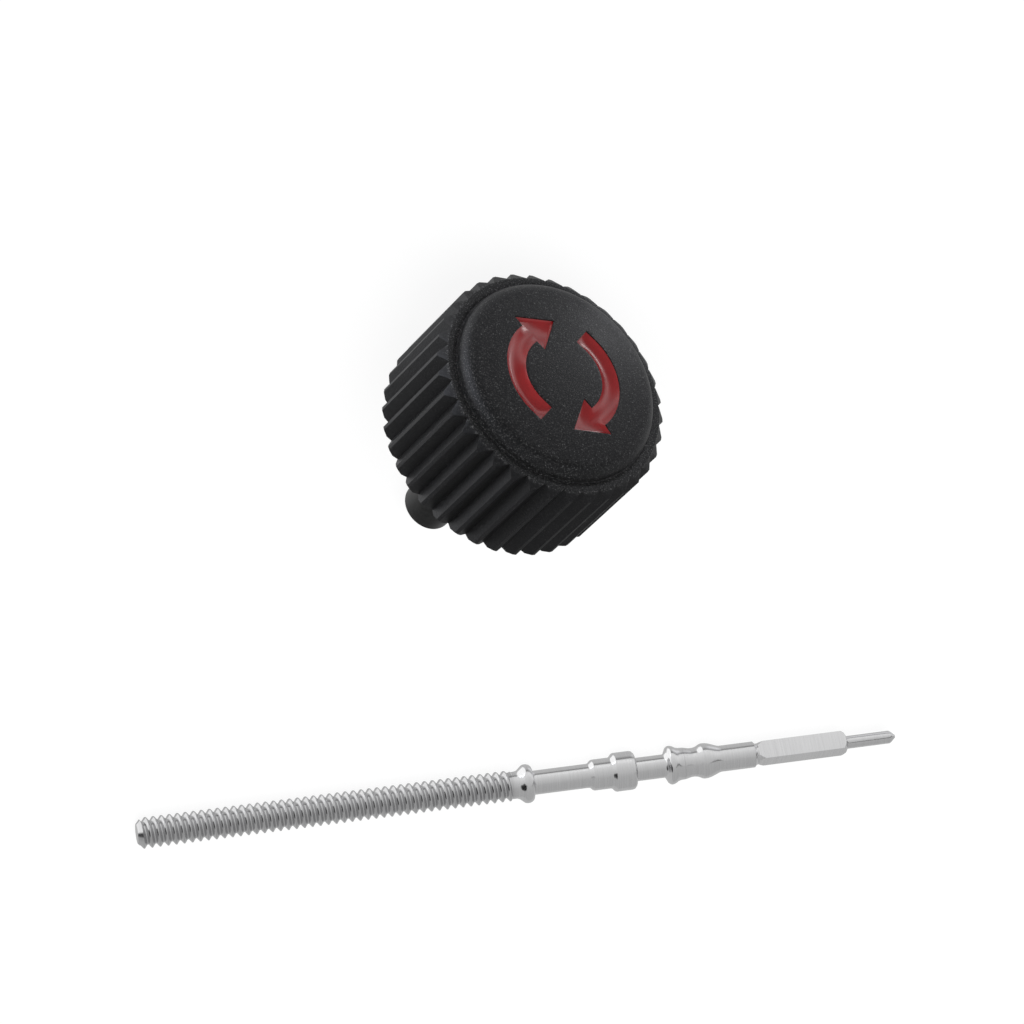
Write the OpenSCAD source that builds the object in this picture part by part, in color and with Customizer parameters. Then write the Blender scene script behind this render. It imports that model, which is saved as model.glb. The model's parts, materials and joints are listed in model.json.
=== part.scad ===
// Screw-down watch crown with its sprung pipe, and the winding stem that screws into the pipe.
// They lie apart on a bench, as a set does before it is fitted: the crown leans on the end of
// its pipe and on two of its ridges, and the stem lies on its three collars.
// Lengths are in millimetres and angles in degrees.
// Each piece of the crown is drawn upright about the crown's own axis, with the skirt at height 0.
// The stem is drawn upright too, from the end of its thread at height 0 to the tip of its pilot.

/* [Crown head] */
// Diameter over the grip ridges
head_d = 7.0; // [6.6:0.1:8.0]
// Height from the skirt to the rim
head_h = 3.5; // [3.4:0.1:4.5]
// Number of grip ridges
ridges = 36; // [24:1:44]
// Depth of the grooves between the ridges
groove_depth = 0.26; // [0.12:0.01:0.30]
// Width of the flat along the crest of a ridge
crest_w = 0.10; // [0.04:0.01:0.16]
// How far the cone at the top cuts the ridges back, measured inwards
slope_w = 0.21; // [0.10:0.01:0.30]
// Height of that cone
slope_h = 0.21; // [0.15:0.01:0.50]
// Broken edge round the skirt
skirt_chamfer = 0.06; // [0.02:0.01:0.10]

/* [Dome] */
// Width of the flat ring from the rim's edge in to the dome's foot
rim_w = 0.30; // [0.15:0.01:0.50]
// Height of the dome's centre above the rim
dome_rise = 0.58; // [0.50:0.01:1.00]
// Height of the upright wall at the dome's foot
dome_wall = 0.04; // [0.02:0.01:0.08]
// Radius of the dome's rounded shoulder
shoulder_r = 0.40; // [0.20:0.01:0.42]

/* [Inside the head] */
// Diameter of the bore that the threaded core is pressed into
press_d = 5.1; // [4.8:0.1:5.4]
// Depth from the skirt to the threaded core
core_recess = 0.35; // [0.20:0.01:0.45]
// Height of the threaded core
core_h = 1.40; // [1.10:0.01:1.45]
// Bore of the core's thread, measured over the thread's tips
tube_thread_d = 3.2; // [2.8:0.1:3.4]
// Lead-in at the mouth of that thread
lead_in = 0.12; // [0.05:0.01:0.20]
// Outer diameter of the gasket
gasket_d = 3.9; // [3.7:0.1:4.2]
// Inner diameter of the gasket
gasket_bore = 2.0; // [1.8:0.1:2.4]
// Height of the gasket
gasket_h = 0.40; // [0.25:0.01:0.50]
// Radius of the gasket's rounded corners
gasket_round = 0.10; // [0.04:0.01:0.12]
// Thickness of the retaining washer
washer_t = 0.15; // [0.10:0.01:0.20]

/* [Pipe] */
// Outer diameter of the pipe
pipe_d = 1.45; // [1.30:0.01:1.60]
// How far the pipe stands out below the skirt
pipe_reach = 3.85; // [3.00:0.05:4.50]
// Radius of the rounded edge at the pipe's end
pipe_edge_r = 0.10; // [0.04:0.01:0.14]
// Width of the pipe's hexagonal head across its flats
hex_w = 2.2; // [1.9:0.1:2.4]
// Height of that head
hex_h = 0.60; // [0.50:0.01:0.62]
// How far the pipe can be pressed in
travel = 0.65; // [0.30:0.01:0.66]
// Depth of the tapped bore that takes the stem
socket_depth = 5.3; // [3.0:0.1:5.4]
// Countersink at the mouth of that bore
socket_lead = 0.08; // [0.03:0.01:0.12]

/* [Spring] */
// Diameter of the spring's wire
wire_d = 0.10; // [0.07:0.01:0.11]
// Mean diameter of the coil
coil_d = 1.0; // [0.8:0.05:1.1]
// Turns of the coil, with one closed turn at each end
coil_turns = 5; // [4:0.5:5]
// Depth of the spring's seat in the pipe's head
seat_depth = 0.45; // [0.20:0.01:0.48]
// Depth of the spring's seat in the head's ceiling
ceiling_seat = 0.15; // [0.05:0.01:0.20]

/* [Stem thread and collars] */
// Diameter over the stem's thread
stem_thread_d = 0.90; // [0.80:0.01:0.96]
// Length of the thread
stem_thread_l = 10.90; // [6:0.05:14]
// Chamfer at the end of the thread
stem_chamfer = 0.14; // [0.04:0.01:0.16]
// Diameter of the relief behind the thread, at its start
shank_d = 0.82; // [0.76:0.01:0.88]
// Length of that relief
shank_l = 0.15; // [0.1:0.05:0.6]
// Diameter of the three collars
collar_d = 1.13; // [1.00:0.01:1.24]
// Width of the first collar at its foot
collar_w = 0.54; // [0.40:0.01:0.80]
// Diameter of the neck between the first collar and the hub
neck_d = 0.70; // [0.60:0.01:0.78]
// Length of that neck
neck_l = 1.61; // [1.0:0.01:2.4]
// Diameter of the step before the hub
step_d = 0.90; // [0.84:0.01:0.96]
// Length of that step, with its slope
step_l = 0.65; // [0.40:0.01:0.90]
// Length of the hub, with its slope and rounded edge
hub_l = 0.75; // [0.60:0.01:1.20]
// Diameter of the groove that the setting lever drops into
groove_d = 0.68; // [0.58:0.01:0.76]
// Width of that groove
groove_w = 0.88; // [0.60:0.01:1.10]

/* [Stem cam, square and pilot] */
// Width of the third collar, from its steep face to the waist
cam_flange_w = 0.44; // [0.36:0.01:0.70]
// Diameter of the body behind the third collar
cam_body_d = 0.94; // [0.88:0.01:0.98]
// Diameter at the cam's waist
waist_d = 0.85; // [0.78:0.01:0.87]
// Length of the body and the waist together
waist_l = 0.44; // [0.34:0.01:0.60]
// Diameter of the bulge behind the waist
bulge_d = 1.03; // [0.98:0.01:1.10]
// Length of the bulge, with its slope and taper
bulge_l = 0.78; // [0.60:0.01:1.20]
// Diameter of the bearing between the bulge and the square
bearing_d = 0.76; // [0.70:0.01:0.78]
// Length of that bearing
bearing_l = 1.06; // [0.6:0.01:1.6]
// Diameter of the undercut before the square
undercut_d = 0.62; // [0.56:0.01:0.68]
// Width of that undercut
undercut_w = 0.08; // [0.04:0.01:0.20]
// Width of the square across its flats
square_w = 0.55; // [0.48:0.01:0.56]
// Length of the square, with its broken ends
square_l = 2.68; // [1.6:0.02:3.6]
// Diameter of the pilot
pilot_d = 0.37; // [0.30:0.01:0.44]
// Length of the pilot, with its pointed tip
pilot_l = 1.47; // [0.8:0.01:2.2]
// Length of that tip
pilot_tip = 0.16; // [0.08:0.01:0.24]

/* [Bench layout] */
// Turn of the crown about the upright, away from square to the stem
crown_turn = 28; // [0:1:45]
// Shift of the crown along the stem, from the stem's middle
crown_shift = 1.02; // [-4:0.02:4]
// Distance across the bench from the middle of the skirt to the stem's axis
crown_distance = 11.9; // [9:0.1:20]
// Roll of the stem about its own axis
stem_roll = 51; // [0:1:90]

/* [Fits] */
// Radial room round the pipe in the washer, and round its hexagonal head
slide_gap = 0.05; // [0.02:0.01:0.08]
// Radial room round the washer and the gasket
seat_gap = 0.02; // [0.01:0.01:0.05]
// Radial room between the stem's thread and the pipe's tapped bore
thread_gap = 0.01; // [0.01:0.01:0.03]
// Room above the pipe's head when it is pressed right in
stop_gap = 0.05; // [0.03:0.01:0.08]
// Room between the spring and its seat at each end
spring_gap = 0.01; // [0.005:0.005:0.02]

/* [Hidden] */
$fn = 96;
// Cuts run this far past the faces that they open
over = 0.2;

// Colours, as the photograph shows them
black_steel = [0.12, 0.12, 0.13];
bright_steel = [0.78, 0.78, 0.80];
inner_steel = [0.60, 0.60, 0.62];
rubber_black = [0.07, 0.07, 0.07];

// Outline of the head
head_r = head_d / 2;
valley_r = head_r - groove_depth;
ridge_pitch = 360 / ridges;
crest_half = asin(crest_w / 2 / head_r);
rim_r = head_r - slope_w;
dome_r = rim_r - rim_w;
shoulder_x = dome_r - shoulder_r;
shoulder_drop = dome_rise - dome_wall;
// The dome's top is an arc about a centre on the axis, tangent to the rounded shoulder
dome_arc_r = (pow(shoulder_x, 2) + pow(shoulder_drop, 2) - pow(shoulder_r, 2))
    / (2 * (shoulder_drop - shoulder_r));

// Heights of the stack inside the head, from the skirt up
washer_z = core_recess + core_h;
hex_z = washer_z + washer_t;
ceiling_z = hex_z + hex_h + travel + stop_gap;
coil_floor = hex_z + hex_h - seat_depth;
coil_top = ceiling_z + ceiling_seat;
coil_seat_r = coil_d / 2 + wire_d / 2 + slide_gap;

// Stations along the stem, from the end of its thread
collar_z = stem_thread_l + shank_l;
neck_z = collar_z + collar_w;
step_z = neck_z + neck_l;
hub_z = step_z + step_l;
groove_z = hub_z + hub_l;
cam_z = groove_z + groove_w;
body_z = cam_z + cam_flange_w;
bulge_z = body_z + waist_l;
bearing_z = bulge_z + bulge_l;
undercut_z = bearing_z + bearing_l;
square_z = undercut_z + undercut_w;
pilot_z = square_z + square_l;
stem_l = pilot_z + pilot_l;
// Length of the slopes up to the step, the hub and the square, and down to the pilot
slope = 0.14;
// Length of the steep faces of the collars
steep = 0.06;
// Taper of the relief towards the first collar, on its diameter
relief_taper = 0.02;
// Lengths of the slope up to the first collar's crest, and of that crest
collar_rise = 0.28;
crest_l = 0.12;
// How far the crest's edges lie below its middle
crest_drop = 0.012;
// Lengths of the third collar's body, and of the slope from it down to the waist
body_l = 0.12;
waist_slope = 0.18;
// Lengths of the slope up to the bulge's top, and of that top
bulge_rise = 0.25;
bulge_land = 0.08;
// Diameter of the flat at the pilot's tip
tip_d = 0.09;

// The crown leans on its pipe's rounded edge and on the corners of the two lowest ridges
rest_r = head_r * cos(ridge_pitch / 2 - crest_half);
rest_dz = skirt_chamfer + pipe_reach - pipe_edge_r;
rest_dr = rest_r - pipe_d / 2 + pipe_edge_r;
lean = 90 - atan2(rest_dr, rest_dz) + asin(pipe_edge_r / norm([rest_dz, rest_dr]));
skirt_z = rest_r * sin(lean) - skirt_chamfer * cos(lean);

// How far the crown reaches forwards from the middle of its skirt
facing = sin(lean) * cos(crown_turn);
side = sqrt(1 - facing * facing);
front_outline = [
    [head_r, head_h - slope_h], [rim_r, head_h], [dome_r, head_h + dome_wall],
    [shoulder_x + shoulder_r * side, head_h + dome_wall + shoulder_r * facing]
];
reach_front = max([for (p = front_outline) p[1] * facing + p[0] * side]);
stem_y = (crown_distance + reach_front - collar_d / 2) / 2;
crown_y = stem_y - crown_distance;

// Steps round the spring's wire, and along one turn of it
wire_sides = 6;
turn_steps = 16;

function polar(r, a) = [r * cos(a), r * sin(a)];

// Points of the ridged outline. The lowest direction, -Y, lies between two ridges.
function ridge_outline() = [
    for (i = [0:ridges - 1])
        let (a = -90 + i * ridge_pitch)
            each [
                polar(valley_r, a),
                polar(head_r, a + ridge_pitch / 2 - crest_half),
                polar(head_r, a + ridge_pitch / 2 + crest_half)
            ]
];

// Rise of the coil's centre line after t turns: closed turns at both ends, open ones between
coil_rise = coil_top - coil_floor - wire_d - 2 * spring_gap;
closed_gap = 0.012;
closed_rise = wire_d + closed_gap;
function coil_z(t) =
    t < 1 ? closed_rise * t
    : t > coil_turns - 1 ? coil_rise - closed_rise * (coil_turns - t)
    : closed_rise + (t - 1) * (coil_rise - 2 * closed_rise) / (coil_turns - 2);

function coil_point(t, k) =
    let (
        a = 360 * t,
        b = 360 * k / wire_sides,
        r = coil_d / 2 + wire_d / 2 * cos(b)
    )
        [r * cos(a), r * sin(a), coil_z(t) + wire_d / 2 * sin(b)];

// Puts a crown piece, drawn upright, where the crown leans on the bench
module on_bench_crown() {
    translate([crown_shift, crown_y, skirt_z])
        rotate([lean, 0, -crown_turn])
            children();
}

// Lays the stem, drawn upright, along X with its thread towards +X
module on_bench_stem() {
    translate([stem_l / 2, stem_y, collar_d / 2])
        rotate([stem_roll, 0, 0])
            rotate([0, -90, 0])
                children();
}

module ring(outer_d, inner_d, z, h) {
    translate([0, 0, z])
        difference() {
            cylinder(d = outer_d, h = h);
            translate([0, 0, -over])
                cylinder(d = inner_d, h = h + 2 * over);
        }
}

module hexagon(width, z, h) {
    translate([0, 0, z])
        cylinder(d = width / cos(30), h = h, $fn = 6);
}

// Grip ridges, cut back by a cone at the top and a broken edge at the skirt
module ridged_barrel() {
    intersection() {
        linear_extrude(head_h)
            polygon(ridge_outline());
        rotate_extrude()
            polygon([
                [0, 0],
                [head_r - skirt_chamfer, 0],
                [head_r + over, skirt_chamfer + over],
                [head_r + over, head_h - slope_h * (slope_w + over) / slope_w],
                [rim_r, head_h],
                [0, head_h]
            ]);
    }
}

// Raised dome: an upright wall, a rounded shoulder and a gently arched top
module dome() {
    translate([0, 0, head_h])
        rotate_extrude() {
            translate([0, -over])
                square([dome_r, over + dome_wall]);
            translate([shoulder_x, dome_wall])
                circle(shoulder_r);
            intersection() {
                translate([0, dome_rise - dome_arc_r])
                    circle(dome_arc_r, $fn = 360);
                translate([0, -over])
                    square([shoulder_x, dome_rise + 2 * over]);
            }
        }
}

module crown_shell() {
    color(black_steel)
        on_bench_crown()
            difference() {
                union() {
                    ridged_barrel();
                    dome();
                }
                translate([0, 0, -over])
                    cylinder(d = press_d, h = hex_z + over);
                hexagon(hex_w + 2 * slide_gap, hex_z - over, ceiling_z - hex_z + over);
                translate([0, 0, hex_z])
                    cylinder(r = coil_seat_r, h = coil_top - hex_z);
            }
}

// Ring pressed into the shell: it carries the thread for the case tube and holds the gasket
module threaded_core() {
    color(inner_steel)
        on_bench_crown()
            difference() {
                ring(press_d, tube_thread_d, core_recess, core_h);
                translate([0, 0, core_recess - over])
                    cylinder(
                        d1 = tube_thread_d + 2 * (lead_in + over),
                        d2 = tube_thread_d,
                        h = lead_in + over
                    );
                translate([0, 0, washer_z - gasket_h])
                    cylinder(d = gasket_d + 2 * seat_gap, h = gasket_h + over);
            }
}

// Flat rubber ring with rounded corners, squeezed by the end of the case tube
module tube_gasket() {
    width = (gasket_d - gasket_bore) / 2;
    color(rubber_black)
        on_bench_crown()
            translate([0, 0, washer_z - gasket_h])
                rotate_extrude()
                    translate([gasket_bore / 2, 0]) {
                        translate([gasket_round, 0])
                            square([width - 2 * gasket_round, gasket_h]);
                        translate([0, gasket_round])
                            square([width, gasket_h - 2 * gasket_round]);
                        for (x = [gasket_round, width - gasket_round])
                            for (y = [gasket_round, gasket_h - gasket_round])
                                translate([x, y])
                                    circle(gasket_round);
                    }
}

// Washer clamped by the core: the pipe's head can't pull out past it
module retaining_washer() {
    color(inner_steel)
        on_bench_crown()
            ring(press_d - 2 * seat_gap, pipe_d + 2 * slide_gap, washer_z, washer_t);
}

// Sliding pipe: a hexagonal head that the shell drives, and a tapped bore for the stem
module clutch_pipe() {
    pipe_r = pipe_d / 2;
    bore_r = stem_thread_d / 2 + thread_gap;
    color(black_steel)
        on_bench_crown()
            difference() {
                union() {
                    rotate_extrude() {
                        translate([0, -pipe_reach])
                            square([pipe_r - pipe_edge_r, pipe_reach + hex_z + over]);
                        translate([0, pipe_edge_r - pipe_reach])
                            square([pipe_r, pipe_reach - pipe_edge_r + hex_z + over]);
                        translate([pipe_r - pipe_edge_r, pipe_edge_r - pipe_reach])
                            circle(pipe_edge_r);
                    }
                    hexagon(hex_w, hex_z, hex_h);
                }
                translate([0, 0, -pipe_reach - over])
                    cylinder(r = bore_r, h = socket_depth + over);
                translate([0, 0, -pipe_reach - over])
                    cylinder(r1 = bore_r + socket_lead + over, r2 = bore_r, h = socket_lead + over);
                translate([0, 0, coil_floor])
                    cylinder(r = coil_seat_r, h = seat_depth + over);
            }
}

// Coil spring of round wire, at its length with the pipe out
module clutch_spring() {
    steps = coil_turns * turn_steps;
    rings = [
        for (i = [0:steps])
            for (k = [0:wire_sides - 1])
                coil_point(i / turn_steps, k)
    ];
    first_end = [for (k = [0:wire_sides - 1]) k];
    last_end = [for (k = [wire_sides - 1:-1:0]) steps * wire_sides + k];
    skin = [
        for (i = [0:steps - 1])
            for (k = [0:wire_sides - 1])
                let (
                    a = i * wire_sides + k,
                    b = i * wire_sides + (k + 1) % wire_sides
                )
                    each [[a, a + wire_sides, b], [b, a + wire_sides, b + wire_sides]]
    ];
    color(bright_steel)
        on_bench_crown()
            translate([0, 0, coil_floor + wire_d / 2 + spring_gap])
                polyhedron(rings, concat([first_end, last_end], skin));
}

// Outline of the turned stem, as distance along it and diameter
function stem_outline() = [
    [0, stem_thread_d - 2 * stem_chamfer],
    [stem_chamfer, stem_thread_d],
    [stem_thread_l, stem_thread_d],
    [stem_thread_l + steep, shank_d],
    [collar_z, shank_d - relief_taper],
    [collar_z + collar_rise, collar_d - 2 * crest_drop],
    [collar_z + collar_rise + crest_l / 2, collar_d],
    [collar_z + collar_rise + crest_l, collar_d - 2 * crest_drop],
    [neck_z - steep, (collar_d + neck_d) / 2],
    [neck_z, neck_d],
    [step_z, neck_d],
    [step_z + slope, step_d],
    [hub_z, step_d],
    [hub_z + slope, collar_d],
    [groove_z - 2 * steep, collar_d],
    [groove_z - steep, collar_d - steep],
    [groove_z, groove_d],
    [cam_z, groove_d],
    [cam_z + 2 * steep, collar_d],
    [cam_z + 2 * steep + crest_l / 2, collar_d],
    [body_z, cam_body_d],
    [body_z + body_l, cam_body_d],
    [body_z + body_l + waist_slope, waist_d],
    [bulge_z, waist_d],
    [bulge_z + bulge_rise, bulge_d],
    [bulge_z + bulge_rise + bulge_land, bulge_d],
    [bearing_z, bearing_d],
    [undercut_z - steep, bearing_d],
    [undercut_z, undercut_d],
    [square_z, undercut_d],
    [square_z + slope, bearing_d],
    [pilot_z - slope, bearing_d],
    [pilot_z, pilot_d],
    [stem_l - pilot_tip, pilot_d],
    [stem_l, tip_d]
];

// One turned piece: thread, collars, lever groove, cam, bearing, milled square and pilot
module winding_stem() {
    color(bright_steel)
        on_bench_stem()
            difference() {
                rotate_extrude()
                    polygon(concat(
                        [[0, 0]],
                        [for (p = stem_outline()) [p[1] / 2, p[0]]],
                        [[0, stem_l]]
                    ));
                for (quarter = [0:3])
                    rotate([0, 0, 90 * quarter])
                        translate([square_w / 2, -collar_d, square_z])
                            cube([collar_d, 2 * collar_d, square_l]);
            }
}

crown_shell();
threaded_core();
tube_gasket();
retaining_washer();
clutch_pipe();
clutch_spring();
winding_stem();
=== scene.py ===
# %% [markdown]
# # A watch crown and its winding stem
#
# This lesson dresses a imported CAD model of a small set: a black screw-down crown with a ridged grip and a
# low dome, which leans on the end of its own pipe, and the bright winding stem that screws into that pipe.
# The CAD model gives every size and place, so the first step loads it as a fixed frame. Each new piece is
# then modelled upright in millimetres, where an operator's numbers are easy to read, and laid where the CAD
# piece lies.

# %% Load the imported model
import json
import math

import bpy
from mathutils import Matrix, Vector


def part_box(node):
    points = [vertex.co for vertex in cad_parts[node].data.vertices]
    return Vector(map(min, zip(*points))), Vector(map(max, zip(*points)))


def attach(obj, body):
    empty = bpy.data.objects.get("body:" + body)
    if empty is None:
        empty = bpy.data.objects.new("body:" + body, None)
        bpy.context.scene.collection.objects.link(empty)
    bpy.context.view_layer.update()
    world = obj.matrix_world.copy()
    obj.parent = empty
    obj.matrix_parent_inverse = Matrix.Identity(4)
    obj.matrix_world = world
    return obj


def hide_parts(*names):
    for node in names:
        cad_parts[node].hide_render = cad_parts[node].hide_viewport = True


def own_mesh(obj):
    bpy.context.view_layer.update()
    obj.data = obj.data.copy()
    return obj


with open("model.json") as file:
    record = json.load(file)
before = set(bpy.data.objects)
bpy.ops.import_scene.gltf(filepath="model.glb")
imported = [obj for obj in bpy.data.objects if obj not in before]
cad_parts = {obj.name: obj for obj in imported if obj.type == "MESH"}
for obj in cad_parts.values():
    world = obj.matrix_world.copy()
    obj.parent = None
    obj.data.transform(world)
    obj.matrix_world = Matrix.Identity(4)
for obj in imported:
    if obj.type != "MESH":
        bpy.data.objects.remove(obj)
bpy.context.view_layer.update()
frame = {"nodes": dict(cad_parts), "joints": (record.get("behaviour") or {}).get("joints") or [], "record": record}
MM = 0.001

# %% [markdown]
# ## The camera
#
# The photograph was taken with a long lens from high above the bench and from behind the crown's right
# side, and the picture is nearly upside down to the bench. A long lens keeps the stem's two ends at nearly
# the same scale. The camera is placed by the point that it looks at, two angles, a distance and a roll
# about its own line of sight, because these are the numbers that a photographer would set.

# %% Camera
LENS_MM = 191.6
LOOK_AT = Vector((0.715, -2.12, 3.69)) * MM
DISTANCE = 150 * MM
AZIMUTH = math.radians(24.19)
ELEVATION = math.radians(62.25)
ROLL = math.radians(151.53)
NEAREST = 5 * MM
FARTHEST = 5000 * MM

back = Vector((
    math.sin(AZIMUTH) * math.cos(ELEVATION),
    -math.cos(AZIMUTH) * math.cos(ELEVATION),
    math.sin(ELEVATION),
))
right = Vector((math.cos(AZIMUTH), math.sin(AZIMUTH), 0))
upright = Matrix((right, back.cross(right), back)).transposed().to_4x4()
bpy.ops.object.camera_add()
camera = bpy.context.object
camera.matrix_world = Matrix.Translation(LOOK_AT + back * DISTANCE) @ upright @ Matrix.Rotation(ROLL, 4, "Z")
camera.data.lens = LENS_MM
camera.data.clip_start = NEAREST
camera.data.clip_end = FARTHEST
bpy.context.scene.camera = camera
print("camera at", [round(v / MM, 2) for v in camera.location], "mm")

# %% [markdown]
# ## Turned solids
#
# Nearly every piece of this set comes off a lathe. A half outline could be spun about its axis, but then
# the ends need closing. Here a turned shape grows ring by ring from a filled circle: each step extrudes the
# end face along the axis and scales it to the next radius. That is how a lathe part is drawn by hand, and
# it is a closed solid from the first step to the last. Operators act on whatever is selected, so a helper
# selects one object.


# %% Select and turn
def only(piece):
    """Selects this object alone and makes it the active one."""
    bpy.ops.object.select_all(action="DESELECT")
    piece.select_set(True)
    bpy.context.view_layer.objects.active = piece


def turned(name, outline, sides):
    """A closed solid of revolution about Z, from (radius, height) stations, none of them on the axis."""
    radius, height = outline[0]
    bpy.ops.mesh.primitive_circle_add(
        vertices=sides,
        radius=radius,
        fill_type="NGON",
        location=(0, 0, height),
        rotation=(0, 0, math.pi / sides),
    )
    piece = bpy.context.object
    piece.name = piece.data.name = name
    bpy.ops.object.mode_set(mode="EDIT")
    bpy.ops.mesh.select_all(action="SELECT")
    for r, z in outline[1:]:
        bpy.ops.mesh.extrude_region_move(TRANSFORM_OT_translate={"value": (0, 0, z - height)})
        bpy.ops.transform.resize(value=(r / radius, r / radius, 1), center_override=(0, 0, 0))
        radius, height = r, z
    bpy.ops.mesh.select_all(action="SELECT")
    bpy.ops.mesh.normals_make_consistent(inside=False)
    bpy.ops.object.mode_set(mode="OBJECT")
    bpy.ops.object.transform_apply(location=True, rotation=True, scale=True)
    print(name, "turned from", len(outline), "stations")
    return piece


def arc(centre, radius, start, end, steps):
    """Stations along an arc, as (radius, height), with angles in degrees from outwards towards upwards."""
    angles = [math.radians(start + (end - start) * i / steps) for i in range(steps + 1)]
    return [(centre[0] + radius * math.cos(a), centre[1] + radius * math.sin(a)) for a in angles]


# %% [markdown]
# ## Cuts and soft edges
#
# What a mill or a tap takes away is a solid too, so a cut is a Boolean modifier that is applied at once,
# and the slivers that it leaves are merged. Grooves and arrows repeat round the crown, so one is made and
# copied. No real edge is sharp, and a fine bevel is what catches the light along it.

# %% Cut, copy and soften
SLIVER = 0.0002


def combine(piece, tool, how):
    """Applies an exact Boolean of the piece with a tool, and deletes the tool."""
    only(piece)
    bpy.ops.object.modifier_add(type="BOOLEAN")
    boolean = piece.modifiers[-1]
    boolean.operation = how
    boolean.solver = "EXACT"
    boolean.object = tool
    bpy.ops.object.modifier_apply(modifier=boolean.name)
    bpy.ops.object.mode_set(mode="EDIT")
    bpy.ops.mesh.select_all(action="SELECT")
    bpy.ops.mesh.remove_doubles(threshold=SLIVER)
    bpy.ops.mesh.dissolve_degenerate(threshold=SLIVER)
    bpy.ops.object.mode_set(mode="OBJECT")
    bpy.data.objects.remove(tool, do_unlink=True)
    return piece


def own_copy(piece):
    """A linked copy of an object with a mesh of its own."""
    copy = piece.copy()
    copy.data = piece.data.copy()
    bpy.context.collection.objects.link(copy)
    return copy


def round_the_crown(tool, count):
    """Copies a tool evenly about Z, and joins the ring into one object."""
    ring = [tool]
    for i in range(1, count):
        copy = own_copy(tool)
        copy.matrix_world = Matrix.Rotation(2 * math.pi * i / count, 4, "Z") @ tool.matrix_world
        ring.append(copy)
    only(tool)
    for copy in ring:
        copy.select_set(True)
    bpy.ops.object.join()
    bpy.ops.object.transform_apply(location=True, rotation=True, scale=True)
    return bpy.context.object


def soften(piece, width, segments=2, angle=30):
    """Rounds every edge that is sharper than the angle, with a Bevel modifier that is applied."""
    only(piece)
    bpy.ops.object.modifier_add(type="BEVEL")
    bevel = piece.modifiers[-1]
    bevel.width = width
    bevel.segments = segments
    bevel.limit_method = "ANGLE"
    bevel.angle_limit = math.radians(angle)
    bevel.harden_normals = False
    bpy.ops.object.modifier_apply(modifier=bevel.name)


def face_out(piece):
    """Turns every face of a closed mesh outwards."""
    only(piece)
    bpy.ops.object.mode_set(mode="EDIT")
    bpy.ops.mesh.select_all(action="SELECT")
    bpy.ops.mesh.normals_make_consistent(inside=False)
    bpy.ops.object.mode_set(mode="OBJECT")


# %% [markdown]
# ## Laying a piece at its place
#
# A finished piece is scaled to metres and moved to its place, and the move is applied to its mesh, because
# its pattern is read from the object's coordinates. In a closed solid every edge has two faces, so each
# piece is printed with the number of edges that don't.


# %% Place, body and finish
def open_edges(piece):
    """How many edges of a mesh don't have exactly two faces."""
    shared = {}
    for polygon in piece.data.polygons:
        for key in polygon.edge_keys:
            shared[key] = shared.get(key, 0) + 1
    return sum(1 for faces in shared.values() if faces != 2)


def finish_piece(piece, place, body, material, nodes=(), smooth=35):
    """Lays a piece drawn in millimetres at its place with its body and material, and hides the parts it replaces.
    """
    only(piece)
    piece.matrix_world = place @ Matrix.Scale(MM, 4)
    bpy.ops.object.transform_apply(location=True, rotation=True, scale=True)
    bpy.ops.object.shade_smooth_by_angle(angle=math.radians(smooth))
    bpy.ops.object.modifier_add(type="WEIGHTED_NORMAL")
    piece.modifiers[-1].keep_sharp = True
    bpy.ops.object.modifier_apply(modifier=piece.modifiers[-1].name)
    piece.data.materials.clear()
    piece.data.materials.append(material)
    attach(piece, body)
    if nodes:
        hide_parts(*nodes)
    print(piece.name, len(piece.data.polygons), "faces,", open_edges(piece), "open edges")


# %% [markdown]
# ## Where the pieces lie
#
# The record says where the crown's axis runs: the joint of its pipe gives the direction, and the flat seat
# under the skirt gives a point at a known radius. The stem lies along X, so its box gives its axis and its
# two ends.

# %% Places from the frame
SEAT_RADIUS = 2.9
STEM_ROLL = math.radians(51)

mounts = {mount["name"]: mount for mount in frame["record"]["mounts"]}
joints = {joint["name"]: joint for joint in frame["joints"]}
crown_axis = Vector(joints["pipe_press"]["axis"])
level = Vector((0, 0, 1)).cross(crown_axis).normalized()
skirt = Vector(mounts["case_seat"]["pos_m"]) - level * SEAT_RADIUS * MM
turn = Matrix((level, crown_axis.cross(level), crown_axis)).transposed()
CROWN = Matrix.Translation(skirt) @ turn.to_4x4()

low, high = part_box("winding_stem")
stem_end = Vector((high.x, (low.y + high.y) / 2, (low.z + high.z) / 2))
rolled = Matrix.Translation(stem_end) @ Matrix.Rotation(STEM_ROLL, 4, "X")
STEM = rolled @ Matrix.Rotation(-math.pi / 2, 4, "Y")
print("skirt at", [round(v / MM, 3) for v in skirt], "stem from", [round(v / MM, 3) for v in stem_end])

# %% [markdown]
# ## Finishes
#
# Each finish is a small tree of nodes on Object coordinates, which run in metres here. A grain of a few
# hundredths of a millimetre therefore needs a noise scale in the tens of thousands. Most finishes need the
# same few steps: a noise pattern, a ramp that turns it into a tone or a roughness, and a bump. So these are
# helpers.


# %% Node helpers
def new_material(name):
    """An empty node material with a Principled shader, returned with its tree and shader."""
    material = bpy.data.materials.new(name)
    material.use_nodes = True
    tree = material.node_tree
    return material, tree, tree.nodes["Principled BSDF"]


def add(tree, kind, **values):
    """Adds a node. Names of sockets set inputs, with underscores for spaces, and others set properties."""
    node = tree.nodes.new(kind)
    for name, value in values.items():
        if hasattr(node, name):
            setattr(node, name, value)
        else:
            node.inputs[name.replace("_", " ")].default_value = value
    return node


def link(tree, source, target):
    tree.links.new(source, target)


def show(material):
    print(material.name, "has", len(material.node_tree.nodes), "nodes")


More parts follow.
